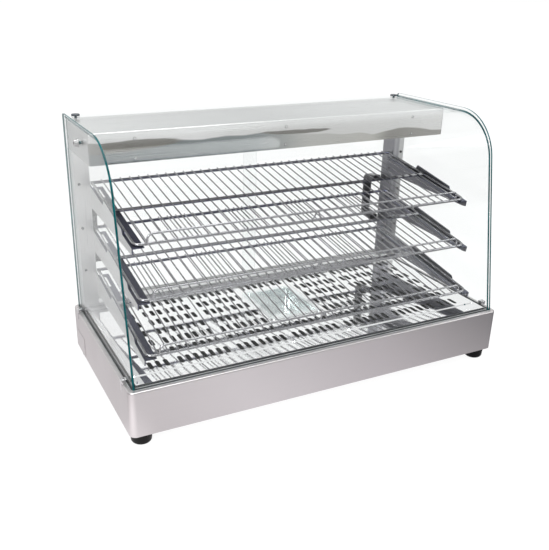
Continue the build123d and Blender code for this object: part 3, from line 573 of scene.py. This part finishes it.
# ---- Controls on the rear. The dial's scale starts at the knob's index and covers its turn. ----
panel_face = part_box("control_panel")[1].y
knob_low, knob_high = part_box("thermostat_knob")
knob_centre = (knob_low + knob_high) / 2
mark_white = moulded("mark_white", (0.8, 0.8, 0.78), 0.5)
mark_black = moulded("mark_black", (0.01, 0.01, 0.01), 0.5)
dial_face = facing((knob_centre.x, panel_face, knob_centre.z), (0, 1, 0))
ticks = bmesh.new()
for step in range(19):
    turn = Matrix.Rotation(radians(15 * step), 4, "Z")
    long_tick = step % 3 == 0
    place = dial_face @ turn @ Matrix.Translation((0, 0.0245 if long_tick else 0.0238, 0))
    prism(ticks, bar(0.0008, 0.0045 if long_tick else 0.003), -0.0001, 0.0001, place)
add_piece("dial_ticks", ticks, mark_black, "cabinet")
number_radius = 0.0315
for number in range(7):
    turn = radians(45 * number)
    text = bpy.data.curves.new(f"dial_number_{number}", "FONT")
    text.body = str(15 * number)
    text.size = 0.0058
    text.extrude = 0.0001
    text.align_x = "CENTER"
    text.align_y = "CENTER"
    text.materials.append(mark_black)
    figure = bpy.data.objects.new(f"dial_number_{number}", text)
    scene.collection.objects.link(figure)
    across = knob_centre.x + number_radius * sin(turn)
    spot = (across, panel_face + 0.00005, knob_centre.z + number_radius * cos(turn))
    upright = Matrix.Rotation(pi, 4, "Z") @ Matrix.Rotation(pi / 2, 4, "X")
    figure.matrix_world = Matrix.Translation(spot) @ upright
    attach(figure, "cabinet")

ribs = bmesh.new()
grip_radius, rib_count = 0.016, 30
knob_axis = facing((knob_centre.x, knob_low.y, knob_centre.z), (0, 1, 0))
for step in range(rib_count):
    turn = Matrix.Rotation(2 * pi * step / rib_count, 4, "Z")
    place = knob_axis @ turn @ Matrix.Translation((grip_radius, 0, 0))
    lathe(ribs, [(0.0, 0.0055), (0.0009, 0.006), (0.0009, 0.0182), (0.0, 0.0188)], place, 8)
add_piece("dial_grip_ribs", ribs, materials["dial_plastic"], "thermostat_knob")
pointer = bmesh.new()
prism(pointer, bar(0.0012, 0.011), 0.0, 0.0001,
      facing((knob_centre.x, knob_high.y, knob_centre.z + 0.0085), (0, 1, 0)))
add_piece("dial_pointer", pointer, mark_white, "thermostat_knob")

for name in ("power_rocker", "light_rocker"):
    low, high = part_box(name)
    middle = (low + high) / 2
    slope = facing((middle.x, high.y - 0.0013, high.z - 0.0051), (0, 0.97, -0.243))
    marks = bmesh.new()
    lathe(marks, [(0.0017, 0.0), (0.0017, 0.0004), (0.0025, 0.0004), (0.0025, 0.0)], slope)
    lower = facing((middle.x, middle.y + 0.0029, low.z + 0.0068), (0, 0.99, -0.13))
    prism(marks, bar(0.0012, 0.005), 0.0, 0.0004, lower)
    add_piece(f"{name}_marks", marks, mark_white, name)

# ---- Grip ribs on the inner side of the bow handles ----
for side in ("left", "right"):
    low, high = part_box(f"door_handle_{side}")
    middle = (low + high) / 2
    grips = bmesh.new()
    count, pitch, bow_thickness = 15, 0.0056, 0.0118
    for step in range(count):
        spot = (middle.x, high.y - bow_thickness, middle.z + pitch * (step - (count - 1) / 2))
        prism(grips, bar(0.0165, 0.003), -0.001, 0.0012, facing(spot, (0, -1, 0)))
    add_piece(f"handle_grips_{side}", grips, materials["handle_plastic"], f"door_{side}")

# ---- Lamp caps and foot collars ----
tube_low, tube_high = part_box("lamp_tube")
tube_centre = (tube_low + tube_high) / 2
caps = bmesh.new()
for side in (-1, 1):
    end = tube_centre + Vector((side * ((tube_high.x - tube_low.x) / 2 - 0.01), 0, 0))
    lathe(caps, [(0.0082, -0.018), (0.0086, -0.0175), (0.0086, -0.001), (0.008, 0.0), (0.0052, 0.0001)],
          facing(end, (side, 0, 0)))
add_piece("lamp_caps", caps, materials["reflector_aluminium"], "cabinet")

collars = bmesh.new()
for corner in ("front_left", "front_right", "rear_left", "rear_right"):
    low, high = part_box(f"foot_{corner}")
    centre = (low + high) / 2
    rim = (high.x - low.x) / 2
    base = Matrix.Translation((centre.x, centre.y, 0))
    proud = rim + 0.0006
    lathe(collars, [
        (rim, high.z - 0.0065), (proud, high.z - 0.006), (proud, high.z - 0.0022), (rim, high.z - 0.0018)],
          base, 48)
add_piece("foot_collars", collars, materials["foot_rubber"], "cabinet")


# ---- Floor, light and camera ----
# The camera sees a plain pale floor. Only polished surfaces see the graded one, as they would a studio's.
floor_mesh = bpy.data.meshes.new("floor")
floor_mesh.from_pydata([(-30, -30, 0), (30, -30, 0), (30, 30, 0), (-30, 30, 0)], [], [(0, 1, 2, 3)])
floor = bpy.data.objects.new("floor", floor_mesh)
scene.collection.objects.link(floor)
floor_material, floor_tree, floor_out = new_tree("studio_floor")
floor_place = position(floor_tree)
across = between(floor_tree, floor_place["X"], 0.0, 1.0, -1.0, 1.0)
pool = ramp(floor_tree, across, [
    (0.1, (0.45, 0.43, 0.435)), (0.26, (0.59, 0.57, 0.58)), (0.42, (0.72, 0.7, 0.72)),
    (0.62, (0.52, 0.5, 0.52)), (0.73, (0.36, 0.35, 0.36)), (0.88, (0.13, 0.13, 0.14))])
rearward = between(floor_tree, floor_place["Y"], 0.0, 0.75, 0.3, 0.5)
rear_tone = ramp(floor_tree, across, [(0.2, grey(0.6)), (0.34, (0.08, 0.08, 0.09))])
pool = mix_colour(floor_tree, rearward, pool, rear_tone)
ahead = between(floor_tree, floor_place["Y"], 0.0, 1.0, -0.75, -1.0)
pool = mix_colour(floor_tree, ahead, pool, grey(0.62))
corner_spot = put(floor_tree, "ShaderNodeVectorMath", {
    0: put(floor_tree, "ShaderNodeTexCoord").outputs["Object"], 1: (-0.56, -0.3, 0.0)}, operation="DISTANCE")
pool_strength = between(floor_tree, corner_spot.outputs["Value"], 3.0, 1.5, 0.03, 0.18)
mirrored_floor = put(floor_tree, "ShaderNodeEmission", {"Color": pool, "Strength": pool_strength})
lit = put(floor_tree, "ShaderNodeEmission", {"Color": (1, 1, 1, 1), "Strength": 0.93})
pale = put(floor_tree, "ShaderNodeAddShader", {0: lit.outputs[0]})
faint = put(floor_tree, "ShaderNodeBsdfDiffuse", {"Color": (0.12, 0.12, 0.12, 1)})
floor_tree.links.new(faint.outputs[0], pale.inputs[1])
floor_ray = put(floor_tree, "ShaderNodeLightPath").outputs["Is Camera Ray"]
floor_mix = put(floor_tree, "ShaderNodeMixShader", {
    0: floor_ray, 1: mirrored_floor.outputs[0], 2: pale.outputs[0]})
floor_tree.links.new(floor_mix.outputs[0], floor_out.inputs[0])
floor_mesh.materials.append(floor_material)

world = bpy.data.worlds.new("studio")
scene.world = world
world.use_nodes = True
sky = world.node_tree
sky.nodes.clear()
sky_out = sky.nodes.new("ShaderNodeOutputWorld")
heading = put(sky, "ShaderNodeSeparateXYZ", {0: put(sky, "ShaderNodeTexCoord").outputs["Generated"]})
walls = ramp(sky, heading.outputs["Z"], [
    (0.0, (0.1, 0.1, 0.11)), (0.3, (0.16, 0.16, 0.17)), (0.42, grey(0.85)), (1.0, grey(1.0))])
behind = between(sky, heading.outputs["Y"], 0.0, 1.0, 0.45, 0.7)
behind.node.clamp = True
glow = mix_colour(sky, behind, walls, grey(1.0))
room = put(sky, "ShaderNodeBackground", {"Color": glow, "Strength": 1.0})
backdrop = put(sky, "ShaderNodeBackground", {"Color": (1, 1, 1, 1), "Strength": 1.0})
seen = put(sky, "ShaderNodeLightPath").outputs["Is Camera Ray"]
blend = put(sky, "ShaderNodeMixShader", {0: seen, 1: room.outputs[0], 2: backdrop.outputs[0]})
sky.links.new(blend.outputs[0], sky_out.inputs[0])


def softbox(name, place, target, size, energy):
    """A square area light at place that shines on target."""
    data = bpy.data.lights.new(name, "AREA")
    data.shape = "RECTANGLE"
    data.size, data.size_y = size
    data.energy = energy
    lamp = bpy.data.objects.new(name, data)
    lamp.location = place
    lamp.rotation_euler = (Vector(target) - Vector(place)).to_track_quat("-Z", "Y").to_euler()
    scene.collection.objects.link(lamp)


softbox("key_light", (-1.9, -1.6, 1.5), (-0.3, 0, 0.2), (0.9, 1.6), 42)
softbox("fill_light", (2.2, -1.2, 1.6), (0, 0, 0.3), (0.8, 1.2), 10)
softbox("top_light", (0, 0.1, 2.6), (0, 0, 0.2), (2.0, 1.2), 34)

camera_data = bpy.data.cameras.new("camera")
camera = bpy.data.objects.new("camera", camera_data)
scene.collection.objects.link(camera)
azimuth, elevation, roll = radians(26.42), radians(22.69), radians(0.94)
forward = Vector((sin(azimuth) * cos(elevation), cos(azimuth) * cos(elevation), -sin(elevation)))
level = Vector((cos(azimuth), -sin(azimuth), 0))
upward = level.cross(forward)
right = cos(roll) * level + sin(roll) * upward
above = -sin(roll) * level + cos(roll) * upward
camera.matrix_world = Matrix.Translation((-0.7586, -1.37245, 0.8422)) @ Matrix(
    [[right[i], above[i], -forward[i]] for i in range(3)]).to_4x4()
camera_data.sensor_width = 36
camera_data.lens = 46.92
camera_data.shift_x, camera_data.shift_y = 0.038, 0.0106
scene.camera = camera
